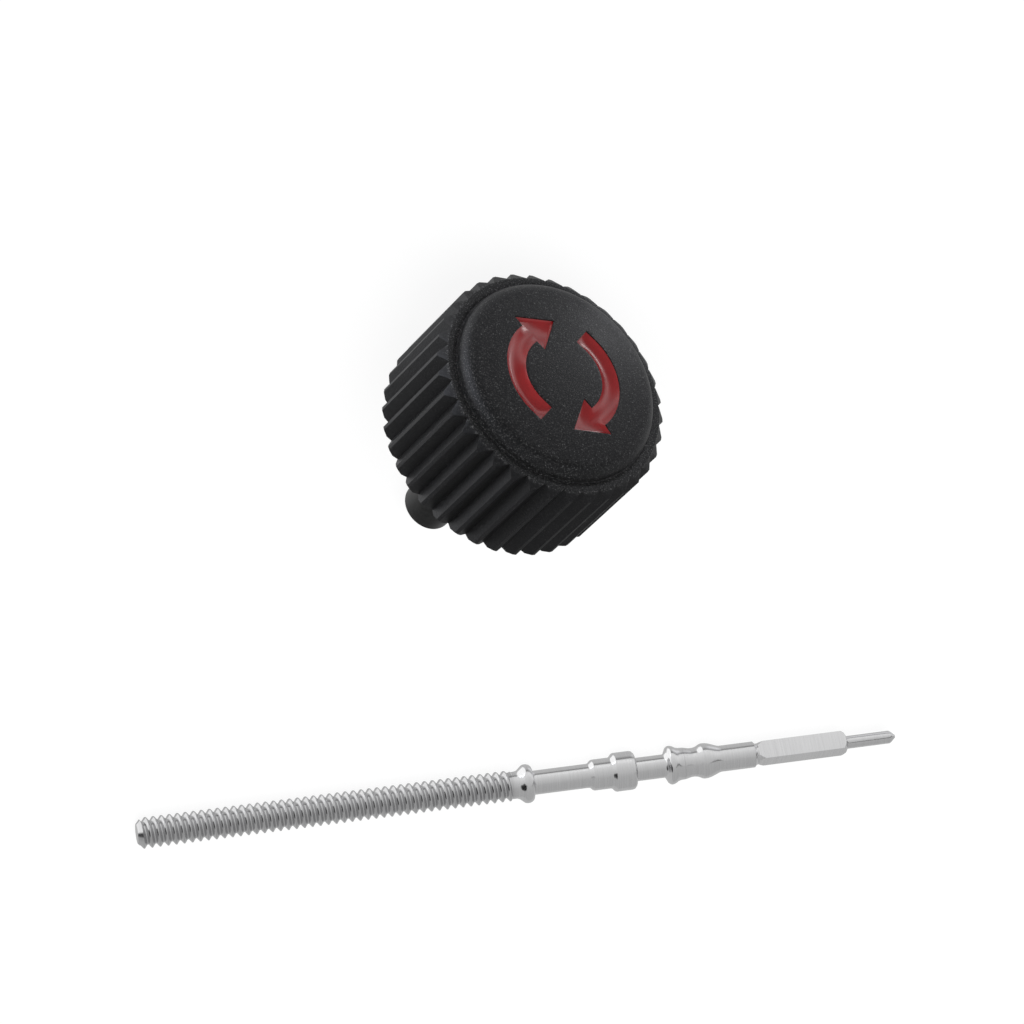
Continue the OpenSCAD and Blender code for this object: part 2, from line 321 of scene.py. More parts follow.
# %% Coordinates
def object_coordinates(tree, scale=(1, 1, 1)):
    """The object's own coordinates, stretched by a scale for each axis."""
    where = add(tree, "ShaderNodeTexCoord")
    mapping = add(tree, "ShaderNodeMapping", Scale=scale)
    link(tree, where.outputs["Object"], mapping.inputs["Vector"])
    return mapping.outputs["Vector"]


def crown_coordinates(tree):
    """Object coordinates in the crown's own frame: Z runs along its axis, from the skirt up."""
    where = add(tree, "ShaderNodeTexCoord")
    mapping = add(tree, "ShaderNodeMapping", vector_type="TEXTURE")
    mapping.inputs["Location"].default_value = CROWN.translation
    mapping.inputs["Rotation"].default_value = CROWN.to_euler()
    link(tree, where.outputs["Object"], mapping.inputs["Vector"])
    return mapping.outputs["Vector"]


def along(tree, where, axis):
    """One axis of some coordinates."""
    axes = add(tree, "ShaderNodeSeparateXYZ")
    link(tree, where, axes.inputs[0])
    return axes.outputs[axis]


# %% Patterns, ramps and bumps
RELIEF_DEPTH = 0.01 * MM


def noise(tree, where, **values):
    """A noise pattern over some coordinates."""
    node = add(tree, "ShaderNodeTexNoise", **values)
    link(tree, where, node.inputs["Vector"])
    return node.outputs["Fac"]


def ramp(tree, source, stops):
    """A colour ramp over a value, from (position, grey or colour) stops."""
    node = add(tree, "ShaderNodeValToRGB")
    elements = node.color_ramp.elements
    while len(elements) < len(stops):
        elements.new(0.5)
    for element, (position, colour) in zip(elements, stops):
        element.position = position
        element.color = (*colour, 1) if isinstance(colour, tuple) else (colour, colour, colour, 1)
    link(tree, source, node.inputs["Fac"])
    return node.outputs["Color"]


def scaled(tree, source, factor):
    """A value times a constant."""
    node = add(tree, "ShaderNodeMath", operation="MULTIPLY")
    node.inputs[1].default_value = factor
    link(tree, source, node.inputs[0])
    return node.outputs[0]


def mixed(tree, share, first, second):
    """The first value or colour where the share is 0, the second where it is 1."""
    node = add(tree, "ShaderNodeMix", data_type="RGBA")
    # The Mix node's sockets 6 and 7 are its two colours
    for socket, source in ((0, share), (6, first), (7, second)):
        link(tree, source, node.inputs[socket])
    return node.outputs[2]


def bumped(tree, shader, height, strength, distance):
    """Lets a value raise the surface, by up to a distance in metres."""
    bump = add(tree, "ShaderNodeBump", Strength=strength, Distance=distance)
    link(tree, height, bump.inputs["Height"])
    link(tree, bump.outputs["Normal"], shader.inputs["Normal"])


# %% [markdown]
# ### Black blasted steel
#
# The head is blasted with fine beads and then coated black. Under a lamp its grain sparkles in single
# points, which a smooth dark grey can't do, so the noise has a steep ramp: most of it is almost black and a
# few grains are much paler, as painted glints for that sparkle. The flat rim is blasted coarser than the
# dome, and its paler grains are painted glints too. The ridges are rubbed smoother. All three are one
# material whose patterns change with the height on the crown, because the surface is one piece.

# %% Black blasted steel
ZONE_REACH = 5 * MM
# Where the coarse blasting lies and where the dome starts, as a share of that reach above the skirt
RIM_BAND = [(0.686, 0.0), (0.694, 0.7), (0.702, 0.7), (0.705, 0.0)]
DOME_ZONE = [(0.699, 0.0), (0.706, 1.0)]
# The paler grains in these three tone ramps are painted glints; the dark grains are the grain's own tone
DOME_TONES = [(0.36, 0.004), (0.54, 0.009), (0.66, 0.05), (0.76, 0.16)]
RIM_TONES = [(0.36, 0.006), (0.52, 0.018), (0.64, 0.07), (0.76, 0.22)]
RIDGE_TONES = [(0.36, 0.004), (0.62, 0.010), (0.80, 0.05)]
BLASTED_ROUGH = [(0.3, 0.40), (0.7, 0.48)]
COAT_TINT = (0.92, 0.93, 1.0, 1)

black_steel, tree, shader = new_material("black_blasted_steel")
where = crown_coordinates(tree)
height = scaled(tree, along(tree, where, "Z"), 1 / ZONE_REACH)
coarse = ramp(tree, height, RIM_BAND)
fine_grain = noise(tree, where, Scale=27000, Detail=2, Roughness=0.6)
rim_grain = noise(tree, where, Scale=24000, Detail=1, Roughness=0.6)
patches = noise(tree, where, Scale=900, Detail=2)
dome_tone = ramp(tree, fine_grain, DOME_TONES)
ridge_tone = ramp(tree, fine_grain, RIDGE_TONES)
top_tone = mixed(tree, ramp(tree, height, DOME_ZONE), ridge_tone, dome_tone)
tone = mixed(tree, coarse, top_tone, ramp(tree, rim_grain, RIM_TONES))
link(tree, tone, shader.inputs["Base Color"])
link(tree, ramp(tree, patches, BLASTED_ROUGH), shader.inputs["Roughness"])
grain = mixed(tree, coarse, fine_grain, rim_grain)
bumped(tree, shader, grain, strength=0.5, distance=2 * RELIEF_DEPTH)
shader.inputs["Specular IOR Level"].default_value = 0.4
shader.inputs["Specular Tint"].default_value = COAT_TINT
show(black_steel)

# %% [markdown]
# ### Black turned steel
#
# The pipe has the same black coat, but on steel that was turned and not blasted. It shows no grain, only a
# slightly uneven gloss, so a soft noise is enough.

# %% Black turned steel
PIPE_TONES = [(0.35, 0.006), (0.7, 0.014)]
PIPE_ROUGH = [(0.3, 0.34), (0.7, 0.42)]

pipe_steel, tree, shader = new_material("black_turned_steel")
marks = noise(tree, crown_coordinates(tree), Scale=9000, Detail=3)
link(tree, ramp(tree, marks, PIPE_TONES), shader.inputs["Base Color"])
link(tree, ramp(tree, marks, PIPE_ROUGH), shader.inputs["Roughness"])
shader.inputs["Specular IOR Level"].default_value = 0.28
show(pipe_steel)

# %% [markdown]
# ### Bright turned steel
#
# A lathe leaves rings that run round the stem, each only a few micrometres wide. A wave texture would make
# them too even. Noise that is stretched does better: its scale is high along the stem and low across it.
# The thread is cut with a die, and its tone is darker than the turned lengths' as painted shade for the
# shade in its roots, so the tone changes where the thread starts.

# %% Bright turned steel
LATHE_REACH = 20 * MM
# Where the thread starts and its painted shade begins, as a share of that reach along the stem
THREAD_SHADE_START = [(0.010, 0.0), (0.016, 1.0)]
RING_SCALE = (42000, 900, 900)
TURNED_TONES = [(0.3, (0.66, 0.66, 0.665)), (0.7, (0.74, 0.74, 0.745))]
SHADED_THREAD_TONES = [(0.3, (0.52, 0.52, 0.525)), (0.7, (0.61, 0.61, 0.615))]
TURNED_ROUGH = [(0.3, 0.12), (0.7, 0.18)]

bright_steel, tree, shader = new_material("bright_turned_steel")
rings = noise(tree, object_coordinates(tree, RING_SCALE), Scale=1.0, Detail=4, Roughness=0.6)
clouds = noise(tree, object_coordinates(tree), Scale=1500, Detail=3)
reach = along(tree, object_coordinates(tree, (1 / LATHE_REACH, 1, 1)), "X")
# The thread's darker tone is painted shade for the shade in its roots
thread_shade_share = ramp(tree, reach, THREAD_SHADE_START)
tone = mixed(tree, thread_shade_share, ramp(tree, rings, TURNED_TONES), ramp(tree, rings, SHADED_THREAD_TONES))
link(tree, tone, shader.inputs["Base Color"])
link(tree, ramp(tree, clouds, TURNED_ROUGH), shader.inputs["Roughness"])
bumped(tree, shader, rings, strength=0.06, distance=0.8 * RELIEF_DEPTH)
shader.inputs["Metallic"].default_value = 1.0
show(bright_steel)

# %% [markdown]
# ### Inner steel and rubber
#
# The core, the washer and the spring are plain turned or drawn steel, and the gasket is moulded rubber. One
# fine pattern each is enough, because they sit deep in the crown. The wire is the brightest, the rubber the
# dullest.

# %% Inner steel, spring wire and rubber
STEEL_GRAIN = {"Scale": 9000, "Detail": 4, "Roughness": 0.6}
RUBBER_GRAIN = {"Scale": 12000, "Detail": 5}
CORE_TONES = [(0.3, (0.42, 0.42, 0.43)), (0.7, (0.6, 0.6, 0.61))]
CORE_ROUGH = [(0.3, 0.25), (0.7, 0.38)]
WIRE_TONES = [(0.3, (0.5, 0.5, 0.51)), (0.7, (0.7, 0.7, 0.7))]
WIRE_ROUGH = [(0.3, 0.17), (0.7, 0.30)]
RUBBER_TONES = [(0.3, 0.012), (0.7, 0.03)]
RUBBER_ROUGH = [(0.3, 0.55), (0.7, 0.7)]


def plain_finish(name, grain, tones, roughs, relief, metallic):
    """A finish with one fine pattern, which varies its tone and roughness and raises its surface."""
    material, tree, shader = new_material(name)
    marks = noise(tree, object_coordinates(tree), **grain)
    link(tree, ramp(tree, marks, tones), shader.inputs["Base Color"])
    link(tree, ramp(tree, marks, roughs), shader.inputs["Roughness"])
    bumped(tree, shader, marks, relief, RELIEF_DEPTH)
    shader.inputs["Metallic"].default_value = metallic
    show(material)
    return material


inner_steel = plain_finish("inner_turned_steel", STEEL_GRAIN, CORE_TONES, CORE_ROUGH, 0.04, 1.0)
wire_steel = plain_finish("spring_wire_steel", STEEL_GRAIN, WIRE_TONES, WIRE_ROUGH, 0.04, 1.0)
rubber = plain_finish("gasket_rubber", RUBBER_GRAIN, RUBBER_TONES, RUBBER_ROUGH, 0.3, 0.0)

# %% [markdown]
# ### Red enamel
#
# Enamel is coloured glass that is melted into a recess. It is deep red and glossy, with faint clouds and
# hardly any ripple. A coat over a matt base could make it too. One glossy base with a high specular level
# is simpler, and gives the same soft gleam.

# %% Red enamel
ENAMEL_TONES = [(0.3, (0.27, 0.010, 0.012)), (0.7, (0.33, 0.013, 0.015))]

enamel, tree, shader = new_material("red_enamel")
clouds = noise(tree, object_coordinates(tree), Scale=1800, Detail=3)
link(tree, ramp(tree, clouds, ENAMEL_TONES), shader.inputs["Base Color"])
bumped(tree, shader, clouds, strength=0.03, distance=RELIEF_DEPTH)
shader.inputs["Roughness"].default_value = 0.23
shader.inputs["Specular IOR Level"].default_value = 1.0
show(enamel)

# %% [markdown]
# ## The head
#
# The real head is turned from bar, and its grip is then cut with one pointed tool, groove by groove. The
# same order works here: a turned blank with the bore inside it, then one wedge that is copied round the
# crown and subtracted. A small bevel follows, because a blasted and coated edge is never sharp, and it is
# what catches the light along each ridge.

# %% Sizes of the head, in millimetres
HEAD_R = 3.5
HEAD_H = 3.5
SKIRT_BREAK = 0.13
SLOPE_FOOT = 3.29
RIM_R = 3.27
DOME_R = 2.99
DOME_WALL = 0.04
DOME_RISE = 0.58
SHOULDER = 0.40
FOOT_GROOVE_R = 3.10
FOOT_GROOVE_DEPTH = 0.035
FOOT_GROOVE_FLOOR = 0.03
FOOT_GROOVE_WALL = 0.01
RIDGES = 36
GROOVE_R = 3.25
CREST_HALF = 0.05
PRESS_R = 2.55
PRESS_DEPTH = 1.90
HEX_FLATS = 2.3
CEILING = 3.20
SEAT_R = 0.60
SEAT_TOP = 3.35
FIRST_R = 0.3
LAST_R = 0.02
# How far a cutting tool stands out of what it cuts
OVERRUN = 0.3
EDGE = 0.024

shoulder_x = DOME_R - SHOULDER
shoulder_drop = DOME_RISE - DOME_WALL
dome_arc = (shoulder_x ** 2 + shoulder_drop ** 2 - SHOULDER ** 2) / (2 * (shoulder_drop - SHOULDER))
dome_top = HEAD_H + DOME_RISE
meet = math.degrees(math.atan2(HEAD_H + DOME_WALL - (dome_top - dome_arc), shoulder_x))
print("The dome's arc has a radius of", round(dome_arc, 2), "mm and meets its shoulder at", round(meet, 1))


def dome_height(x, y):
    """Height of the dome's arched top above the skirt."""
    return dome_top - dome_arc + math.sqrt(dome_arc ** 2 - x * x - y * y)


# %% Turned blank
SHOULDER_STEPS = 10
DOME_STEPS = 24

outline = [(FIRST_R, SEAT_TOP), (SEAT_R, SEAT_TOP), (SEAT_R, PRESS_DEPTH)]
outline += [(PRESS_R, PRESS_DEPTH), (PRESS_R, 0)]
outline += [(HEAD_R - SKIRT_BREAK, 0), (HEAD_R, SKIRT_BREAK), (HEAD_R, SLOPE_FOOT), (RIM_R, HEAD_H)]
outline += [(FOOT_GROOVE_R, HEAD_H), (DOME_R + FOOT_GROOVE_FLOOR, HEAD_H - FOOT_GROOVE_DEPTH)]
outline += [(DOME_R, HEAD_H - FOOT_GROOVE_DEPTH + FOOT_GROOVE_WALL)]
outline += arc((shoulder_x, HEAD_H + DOME_WALL), SHOULDER, 0, meet, SHOULDER_STEPS)
top = arc((0, dome_top - dome_arc), dome_arc, meet, 90, DOME_STEPS)
outline += [station for station in top[1:] if station[0] > LAST_R]
head = turned("ridged_head", outline, RIDGES * 8)

# %% Grooves, cut with one wedge
CUTTER_REACH = 0.28
# A triangle in a circle of radius 1 is 1.5 deep, and its middle lies two thirds of that from its corner
TRIANGLE_DEPTH = 1.5

half = math.pi / RIDGES - math.asin(CREST_HALF / HEAD_R)
flare = HEAD_R * math.sin(half) / (HEAD_R * math.cos(half) - GROOVE_R)
bpy.ops.mesh.primitive_cylinder_add(vertices=3, radius=1, depth=HEAD_H + 2 * OVERRUN)
wedge = bpy.context.object
# The primitive's first corner points along +Y. It is turned inwards, then scaled to the groove's angle.
wedge.matrix_world = (
    Matrix.Translation((GROOVE_R + CUTTER_REACH * 2 / 3, 0, HEAD_H / 2))
    @ Matrix.Diagonal((CUTTER_REACH / TRIANGLE_DEPTH, CUTTER_REACH * flare / math.sin(math.pi / 3), 1, 1))
    @ Matrix.Rotation(math.pi / 2, 4, "Z")
)
only(wedge)
bpy.ops.object.transform_apply(location=True, rotation=True, scale=True)
print("One wedge is", round(wedge.dimensions.x, 3), "mm deep and", round(wedge.dimensions.y, 3), "mm wide")
combine(head, round_the_crown(wedge, RIDGES), "DIFFERENCE")

# %% Six-sided seat of the pipe
HEX_OVERLAP = 0.2

bpy.ops.mesh.primitive_cylinder_add(
    vertices=6,
    radius=HEX_FLATS / math.sqrt(3),
    depth=CEILING - PRESS_DEPTH + HEX_OVERLAP,
    location=(0, 0, (CEILING + PRESS_DEPTH - HEX_OVERLAP) / 2),
)
combine(head, bpy.context.object, "DIFFERENCE")
print("The seat is", HEX_FLATS, "mm across its flats")

# %% [markdown]
# ## The winding sign
#
# The dome carries a sign in red enamel. Here it is a plain pair of curved arrows that show which way the
# crown winds. The outline is drawn once, flat: a short edge is spun into a band, and two more extrusions
# make the arrow's head. The same outline gives the recess in the steel and the enamel in it, so that the
# two fit.

# %% Sizes of the sign
SIGN_R = 1.46
SIGN_STROKE = 0.58
SIGN_TAIL = 0.35
SIGN_SWEEP = math.radians(98)
SIGN_WAY = -1
SIGN_TURN = math.radians(60)
SPIN_STEPS = 24
BARB_HALF = 0.62
BARB_FOOT = 0.02
BARB_LENGTH = 0.98
TIP_LEAN = 0.12
TO_A_POINT = 0.0001
NEAR = 0.001
RECESS_FLOOR = 3.68


# %% Sign outline
def sign_outline(name):
    """Both arrows as flat faces at height 0."""
    bpy.ops.mesh.primitive_plane_add(size=SIGN_STROKE, location=(SIGN_R, 0, 0))
    arrow = bpy.context.object
    arrow.name = arrow.data.name = name
    arrow.scale = (1, SIGN_TAIL / SIGN_STROKE, 1)
    arrow.location.y = -SIGN_WAY * SIGN_TAIL / 2
    bpy.ops.object.transform_apply(location=True, rotation=True, scale=True)
    bpy.ops.object.mode_set(mode="EDIT")
    bpy.ops.mesh.select_mode(type="VERT")
    bpy.ops.mesh.select_all(action="DESELECT")
    bpy.ops.object.mode_set(mode="OBJECT")
    for vertex in arrow.data.vertices:
        vertex.select = abs(vertex.co.y) < NEAR
    bpy.ops.object.mode_set(mode="EDIT")
    # With no window, spin turns the other way, so its angle has the opposite sign
    bpy.ops.mesh.spin(steps=SPIN_STEPS, angle=-SIGN_WAY * SIGN_SWEEP, center=(0, 0, 0), axis=(0, 0, 1))
    end = SIGN_WAY * SIGN_SWEEP
    onwards = Vector((-math.sin(end), math.cos(end), 0)) * SIGN_WAY
    outwards = Vector((math.cos(end), math.sin(end), 0))
    centre = outwards * SIGN_R + onwards * BARB_FOOT
    widen = BARB_HALF / (SIGN_STROKE / 2)
    bpy.ops.mesh.extrude_region_move(TRANSFORM_OT_translate={"value": onwards * BARB_FOOT})
    bpy.ops.transform.resize(value=(widen, widen, 1), center_override=centre)
    tip = onwards * BARB_LENGTH - outwards * TIP_LEAN
    bpy.ops.mesh.extrude_region_move(TRANSFORM_OT_translate={"value": tip})
    bpy.ops.transform.resize(value=(TO_A_POINT, TO_A_POINT, 1), center_override=centre + tip)
    bpy.ops.mesh.select_all(action="SELECT")
    bpy.ops.mesh.remove_doubles(threshold=NEAR)
    bpy.ops.mesh.dissolve_faces()
    bpy.ops.mesh.normals_make_consistent(inside=False)
    bpy.ops.object.mode_set(mode="OBJECT")
    arrow.matrix_world = Matrix.Rotation(SIGN_TURN, 4, "Z")
    bpy.ops.object.transform_apply(location=True, rotation=True, scale=True)
    pair = round_the_crown(arrow, 2)
    if pair.data.polygons[0].normal.z < 0:
        only(pair)
        bpy.ops.object.mode_set(mode="EDIT")
        bpy.ops.mesh.select_all(action="SELECT")
        bpy.ops.mesh.flip_normals()
        bpy.ops.object.mode_set(mode="OBJECT")
    reach = max(v.co.length for v in pair.data.vertices)
    print(name, len(pair.data.polygons), "faces, reach", round(reach, 3), "mm")
    return pair


def raised(piece, low, high):
    """Extrudes a flat outline into a solid from one height to another."""
    only(piece)
    bpy.ops.object.mode_set(mode="EDIT")
    bpy.ops.mesh.select_all(action="SELECT")
    bpy.ops.transform.translate(value=(0, 0, low))
    bpy.ops.mesh.extrude_region_move(TRANSFORM_OT_translate={"value": (0, 0, high - low)})
    bpy.ops.object.mode_set(mode="OBJECT")
    return piece


# %% Recess and soft edges
recess = raised(sign_outline("sign_recess"), RECESS_FLOOR, dome_top + OVERRUN)
face_out(recess)
combine(head, recess, "DIFFERENCE")
soften(head, EDGE)
finish_piece(head, CROWN, "head", black_steel, ["crown_shell"])

# %% [markdown]
# ## The enamel
#
# Enamel shrinks as it cures and clings to the walls of its recess, so its surface is a trough. A flat fill
# would mirror one even tone. Here the outline is inset again and again, each ring a little deeper, until
# the rings nearly meet in the middle of the stroke.

# %% Enamel in its recess
ENAMEL_GAP = 0.004
ENAMEL_DIP = 0.045
TROUGH_DEPTH = 0.12
TROUGH_STEPS = (0.02, 0.06, 0.11, 0.165, 0.22, 0.272)

fill = raised(sign_outline("winding_sign"), 0, 1)
bpy.ops.object.mode_set(mode="EDIT")
reached = dipped = 0
for step in TROUGH_STEPS:
    depth = TROUGH_DEPTH * (1 - (1 - step / (SIGN_STROKE / 2)) ** 2)
    bpy.ops.mesh.inset(thickness=step - reached, depth=dipped - depth, use_even_offset=True)
    reached, dipped = step, depth
bpy.ops.mesh.quads_convert_to_tris()
bpy.ops.object.mode_set(mode="OBJECT")
for vertex in fill.data.vertices:
    x, y, z = vertex.co
    vertex.co.z = dome_height(x, y) - ENAMEL_DIP + z - 1 if z > 0.5 else RECESS_FLOOR + ENAMEL_GAP
face_out(fill)
finish_piece(fill, CROWN, "head", enamel, smooth=50)

# %% [markdown]
# ## Threads
#
# A thread is one tooth carried round and up. The tooth's outline is drawn vertex by vertex over exactly one
# pitch, and the Screw modifier turns it, so that each turn lands on the one before and their vertices
# merge. The tube is then cut square at both ends and filled. The same rod serves twice: as the stem's own
# thread, and as the tool that cuts a thread in a bore.

# %% Threaded rod
# One tooth as (share of the pitch, share of the thread's depth)
TOOTH = [(0, 0), (0.08, 0.03), (0.40, 0.90), (0.46, 0.99), (0.54, 0.99), (0.60, 0.90), (0.92, 0.03), (1, 0)]
TURN_SEAM = 0.0005


def threaded_rod(name, root, crest, pitch, low, high, steps):
    """A closed rod with a right-hand thread of rounded teeth, from one height to another."""
    depth = crest - root
    bpy.ops.mesh.primitive_plane_add(size=pitch, location=(root, 0, low - pitch))
    rod = bpy.context.object
    rod.name = rod.data.name = name
    bpy.ops.object.transform_apply(location=True, rotation=True, scale=True)
    bpy.ops.object.mode_set(mode="EDIT")
    bpy.ops.mesh.select_mode(type="VERT")
    bpy.ops.mesh.select_all(action="SELECT")
    bpy.ops.mesh.merge(type="CENTER")
    for (share, height), (next_share, next_height) in zip(TOOTH, TOOTH[1:]):
        step = ((next_height - height) * depth, 0, (next_share - share) * pitch)
        bpy.ops.mesh.extrude_vertices_move(TRANSFORM_OT_translate={"value": step})
    bpy.ops.object.mode_set(mode="OBJECT")
    bpy.ops.object.modifier_add(type="SCREW")
    screw = rod.modifiers[-1]
    screw.axis = "Z"
    screw.screw_offset = pitch
    screw.iterations = math.ceil((high - low) / pitch) + 2
    screw.steps = screw.render_steps = steps
    screw.use_merge_vertices = True
    screw.merge_threshold = SLIVER
    bpy.ops.object.modifier_apply(modifier=screw.name)
    bpy.ops.object.mode_set(mode="EDIT")
    bpy.ops.mesh.select_all(action="SELECT")
    bpy.ops.mesh.remove_doubles(threshold=TURN_SEAM)
    bpy.ops.mesh.bisect(plane_co=(0, 0, low), plane_no=(0, 0, 1), use_fill=True, clear_inner=True)
    bpy.ops.mesh.select_all(action="SELECT")
    bpy.ops.mesh.bisect(plane_co=(0, 0, high), plane_no=(0, 0, 1), use_fill=True, clear_outer=True)
    bpy.ops.object.mode_set(mode="OBJECT")
    face_out(rod)
    print(name, len(rod.data.polygons), "faces,", open_edges(rod), "open edges")
    return rod


# %% [markdown]
# ## The winding stem
#
# The stem is one long turned piece. From its threaded end come a round collar, a neck, two steps, the
# groove that the setting lever rides in, a cam, a bearing and a square that is milled on the bar, and a
# pilot. The lathe leaves a small radius at each step, so the outline is given with its radii, and a bevel
# rounds what is left. Two stations close together keep the shading of a radius from running into the
# straight length beside it.

# %% Outline of the stem
SQUARE_HALF = 0.275
SQUARE_START = 18.28
SQUARE_END = 20.96
STEM_EDGE = 0.02
# Stations as (radius, height), in millimetres from the threaded end
COLLAR = [(0.30, 10.70), (0.385, 10.80), (0.395, 11.05), (0.405, 11.10), (0.425, 11.145), (0.50, 11.232)]
COLLAR += [(0.545, 11.286), (0.56, 11.33), (0.565, 11.373), (0.56, 11.43), (0.54, 11.485), (0.50, 11.53)]
NECK = [(0.43, 11.55), (0.38, 11.565), (0.36, 11.575), (0.35, 11.60), (0.35, 11.63)]
NECK += [(0.35, 13.16), (0.35, 13.19), (0.362, 13.235)]
STEPS = [(0.438, 13.318), (0.45, 13.36), (0.45, 13.39), (0.45, 13.81), (0.45, 13.84)]
STEPS += [(0.462, 13.88), (0.548, 13.96), (0.565, 14.0), (0.565, 14.03), (0.565, 14.43)]
LEVER_GROOVE = [(0.565, 14.46), (0.55, 14.53), (0.50, 14.575), (0.36, 14.595), (0.34, 14.62), (0.34, 14.65)]
LEVER_GROOVE += [(0.34, 15.42), (0.34, 15.45), (0.36, 15.49), (0.46, 15.545)]
CAM = [(0.52, 15.575), (0.556, 15.62), (0.565, 15.66), (0.56, 15.71), (0.54, 15.765), (0.50, 15.83)]
CAM += [(0.48, 15.88), (0.468, 15.94), (0.465, 16.0), (0.457, 16.005), (0.457, 16.02), (0.465, 16.025)]
CAM += [(0.46, 16.08), (0.425, 16.23), (0.42, 16.27), (0.42, 16.35), (0.43, 16.42), (0.455, 16.49)]
CAM += [(0.49, 16.555), (0.508, 16.60), (0.515, 16.65), (0.51, 16.74), (0.49, 16.83), (0.44, 16.97)]
BEARING = [(0.40, 17.07), (0.383, 17.13), (0.38, 17.18), (0.38, 17.22), (0.38, 18.12), (0.38, 18.15)]
SQUARE = [(0.32, 18.205), (0.308, 18.235), (0.308, SQUARE_START), (0.39, 18.45), (0.39, 20.80)]
PILOT = [(0.30, 20.90), (0.20, SQUARE_END), (0.187, 20.99), (0.187, 22.25), (0.16, 22.30), (0.045, 22.43)]

# %% Turned and milled blank
CUT_DEEP = 0.5
CUT_WIDE = 1.2

outline = COLLAR + NECK + STEPS + LEVER_GROOVE + CAM + BEARING + SQUARE + PILOT
stem = turned("winding_stem_turned", outline, 96)
length = SQUARE_END - SQUARE_START
bpy.ops.mesh.primitive_cube_add(size=1, location=(SQUARE_HALF + CUT_DEEP / 2, 0, SQUARE_START + length / 2))
box = bpy.context.object
box.scale = (CUT_DEEP, CUT_WIDE, length)
bpy.ops.object.transform_apply(location=True, rotation=True, scale=True)
for quarter in range(4):
    cutter = own_copy(box)
    cutter.matrix_world = Matrix.Rotation(quarter * math.pi / 2, 4, "Z")
    combine(stem, cutter, "DIFFERENCE")
bpy.data.objects.remove(box, do_unlink=True)
soften(stem, STEM_EDGE, segments=3, angle=35)
print("The square is", 2 * SQUARE_HALF, "mm across and", round(length, 2), "mm long")

# %% Stem with its thread
THREAD_ROOT = 0.342
THREAD_CREST = 0.45
THREAD_PITCH = 0.2324
THREAD_START = -0.254
THREAD_END = 11.00
# The cones that run the thread out at both ends
THREAD_ENDS = [(0.29, 0), (0.47, 0.17), (0.47, THREAD_END - 0.16), (0.35, THREAD_END)]

top = THREAD_END + 0.2
rod = threaded_rod("stem_thread_rod", THREAD_ROOT, THREAD_CREST, THREAD_PITCH, THREAD_START, top, 40)
combine(rod, turned("envelope", THREAD_ENDS, 96), "INTERSECT")
print("blank", open_edges(stem), "rod", open_edges(rod), "open edges")
combine(stem, rod, "UNION")
finish_piece(stem, STEM, "stem", bright_steel, ["winding_stem"])

# %% [markdown]
# ## The pipe
#
# The pipe is what carries the stem: a tube that slides in the crown, with a six-sided head that can't turn
# and a tapped bore. It is turned with a round head, and a six-sided prism is then all that is kept of it.

# %% Sliding pipe
PIPE_R = 0.725
PIPE_END = -3.85
PIPE_EDGE = 0.10
HEX_FOOT = 1.90
HEX_TOP = 2.50
HEX_HALF = 1.10
HEX_BREAK = 0.1
BORE_MINOR = 0.385
BORE_MAJOR = 0.46
BORE_DEPTH = 5.22
BORE_RUNOUT = 0.08
COIL_SEAT_Z = 2.05
MOUTH = [(0.56, PIPE_END - 0.02), (0.38, PIPE_END + 0.16)]
# How far a tap starts before what it cuts
TAP_START = 0.1

corner = HEX_HALF / math.cos(math.radians(30))
outline = [(PIPE_R - PIPE_EDGE, PIPE_END)]
outline += arc((PIPE_R - PIPE_EDGE, PIPE_END + PIPE_EDGE), PIPE_EDGE, -75, 0, 5)
outline += [(PIPE_R, HEX_FOOT - HEX_BREAK), (PIPE_R, HEX_FOOT), (HEX_HALF, HEX_FOOT)]
outline += [(corner, HEX_FOOT + HEX_BREAK), (corner, HEX_TOP - HEX_BREAK), (HEX_HALF, HEX_TOP)]
pipe = turned("sliding_pipe", outline, 96)
bpy.ops.mesh.primitive_cylinder_add(vertices=6, radius=corner, depth=HEX_TOP - PIPE_END + 2)
combine(pipe, bpy.context.object, "INTERSECT")
tap_end = PIPE_END + BORE_DEPTH + BORE_RUNOUT
tap = threaded_rod("pipe_tap", BORE_MINOR, BORE_MAJOR, THREAD_PITCH, PIPE_END - TAP_START, tap_end, 32)
combine(pipe, tap, "DIFFERENCE")
combine(pipe, turned("lead_in", MOUTH, 96), "DIFFERENCE")
coil_seat = [(SEAT_R, COIL_SEAT_Z), (SEAT_R, HEX_TOP + TAP_START)]
combine(pipe, turned("coil_seat", coil_seat, 96), "DIFFERENCE")
finish_piece(pipe, CROWN, "pipe", pipe_steel, ["clutch_pipe"])

# %% [markdown]
# ## The core
#
# The core is the ring that screws onto the case, with a seat for the gasket behind its thread. Its thread
# shows from below, so it is cut with a tap as the pipe's is.

# %% Threaded core
CORE_FOOT = 0.35
CORE_TOP = 1.75
CORE_BREAK = 0.08
TUBE_MINOR = 1.60
TUBE_MAJOR = 1.71
TUBE_PITCH = 0.25
GASKET_SEAT_R = 1.96
GASKET_SEAT_Z = 1.35
CORE_MOUTH = [(TUBE_MAJOR + 0.03, CORE_FOOT - 0.01), (TUBE_MINOR - 0.02, CORE_FOOT + 0.14)]

outline = [(PRESS_R - CORE_BREAK, CORE_FOOT), (PRESS_R, CORE_FOOT + CORE_BREAK), (PRESS_R, CORE_TOP)]
core = turned("case_thread_core", outline, 144)
start = CORE_FOOT - TAP_START
tap = threaded_rod("case_tap", TUBE_MINOR, TUBE_MAJOR, TUBE_PITCH, start, CORE_TOP + TAP_START, 72)
combine(core, tap, "DIFFERENCE")
combine(core, turned("lead_in", CORE_MOUTH, 144), "DIFFERENCE")
gasket_seat = [(GASKET_SEAT_R, GASKET_SEAT_Z), (GASKET_SEAT_R, CORE_TOP + TAP_START)]
combine(core, turned("gasket_seat", gasket_seat, 144), "DIFFERENCE")
finish_piece(core, CROWN, "head", inner_steel, ["threaded_core"])
